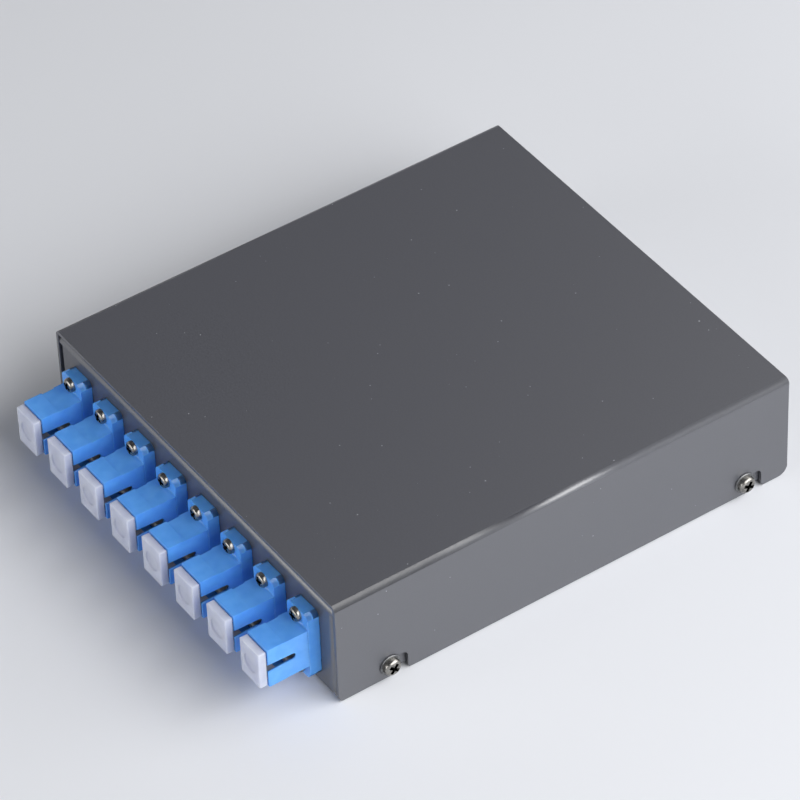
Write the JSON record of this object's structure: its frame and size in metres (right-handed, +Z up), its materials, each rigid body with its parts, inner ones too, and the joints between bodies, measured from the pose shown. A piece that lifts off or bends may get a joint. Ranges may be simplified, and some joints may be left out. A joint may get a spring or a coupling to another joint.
{
  "type": "desktop fibre terminal box",
  "caption": "Low steel box with a row of fibre adapters across its front, a screwed-on cover with slotted sides, and a splice tray and cable entries inside.",
  "frame": {"origin": "on the desk, under the middle of the base tray", "axes": "+X along the row of adapters to the right as seen from the front, +Y from the front to the rear, +Z up"},
  "size_m": [0.1364, 0.1638, 0.0335],
  "materials": {
    "powder_coated_steel": "satin, finely textured powder coat",
    "blue_moulded_plastic": "semi-gloss moulded",
    "natural_moulded_plastic": "smooth moulded",
    "clear_cap_plastic": "translucent, satin moulded",
    "zirconia": "polished ceramic",
    "nickel_plated_steel": "nickel plated",
    "black_rubber": "matt",
    "white_tray_plastic": "fine matt moulded",
    "clear_lid_plastic": "clear, polished",
    "grey_foam_rubber": "matt"
  },
  "bodies": {
    "case": {"cover": "powder_coated_steel", "base_tray": "powder_coated_steel", "cover_screws": "nickel_plated_steel", "cover_screw_washers": "nickel_plated_steel", "adapter_screws": "nickel_plated_steel", "cable_grommet_left": "black_rubber", "cable_grommet_right": "black_rubber", "cable_saddle_left": "nickel_plated_steel", "cable_saddle_right": "nickel_plated_steel", "saddle_screws": "nickel_plated_steel", "strength_member_posts": "nickel_plated_steel", "splice_tray": "white_tray_plastic", "splice_tray_lid": "clear_lid_plastic", "splice_comb": "grey_foam_rubber", "splice_tray_standoffs": "nickel_plated_steel", "splice_tray_screws": "nickel_plated_steel", "adapter_housing_1": "blue_moulded_plastic", "latch_holder_1": "natural_moulded_plastic", "alignment_sleeve_1": "zirconia", "adapter_housing_2": "blue_moulded_plastic", "latch_holder_2": "natural_moulded_plastic", "alignment_sleeve_2": "zirconia", "adapter_housing_3": "blue_moulded_plastic", "latch_holder_3": "natural_moulded_plastic", "alignment_sleeve_3": "zirconia", "adapter_housing_4": "blue_moulded_plastic", "latch_holder_4": "natural_moulded_plastic", "alignment_sleeve_4": "zirconia", "adapter_housing_5": "blue_moulded_plastic", "latch_holder_5": "natural_moulded_plastic", "alignment_sleeve_5": "zirconia", "adapter_housing_6": "blue_moulded_plastic", "latch_holder_6": "natural_moulded_plastic", "alignment_sleeve_6": "zirconia", "adapter_housing_7": "blue_moulded_plastic", "latch_holder_7": "natural_moulded_plastic", "alignment_sleeve_7": "zirconia", "adapter_housing_8": "blue_moulded_plastic", "latch_holder_8": "natural_moulded_plastic", "alignment_sleeve_8": "zirconia"},
    "dust_cap_1": {"dust_cap_1": "clear_cap_plastic"},
    "dust_cap_2": {"dust_cap_2": "clear_cap_plastic"},
    "dust_cap_3": {"dust_cap_3": "clear_cap_plastic"},
    "dust_cap_4": {"dust_cap_4": "clear_cap_plastic"},
    "dust_cap_5": {"dust_cap_5": "clear_cap_plastic"},
    "dust_cap_6": {"dust_cap_6": "clear_cap_plastic"},
    "dust_cap_7": {"dust_cap_7": "clear_cap_plastic"},
    "dust_cap_8": {"dust_cap_8": "clear_cap_plastic"}
  },
  "joints": [
    {"name": "dust_cap_1_pull", "type": "slide", "parent": "case", "child": "dust_cap_1", "axis": [0, -1, 0], "range_m": [0, 0.012]},
    {"name": "dust_cap_2_pull", "type": "slide", "parent": "case", "child": "dust_cap_2", "axis": [0, -1, 0], "range_m": [0, 0.012]},
    {"name": "dust_cap_3_pull", "type": "slide", "parent": "case", "child": "dust_cap_3", "axis": [0, -1, 0], "range_m": [0, 0.012]},
    {"name": "dust_cap_4_pull", "type": "slide", "parent": "case", "child": "dust_cap_4", "axis": [0, -1, 0], "range_m": [0, 0.012]},
    {"name": "dust_cap_5_pull", "type": "slide", "parent": "case", "child": "dust_cap_5", "axis": [0, -1, 0], "range_m": [0, 0.012]},
    {"name": "dust_cap_6_pull", "type": "slide", "parent": "case", "child": "dust_cap_6", "axis": [0, -1, 0], "range_m": [0, 0.012]},
    {"name": "dust_cap_7_pull", "type": "slide", "parent": "case", "child": "dust_cap_7", "axis": [0, -1, 0], "range_m": [0, 0.012]},
    {"name": "dust_cap_8_pull", "type": "slide", "parent": "case", "child": "dust_cap_8", "axis": [0, -1, 0], "range_m": [0, 0.012]}
  ]
}
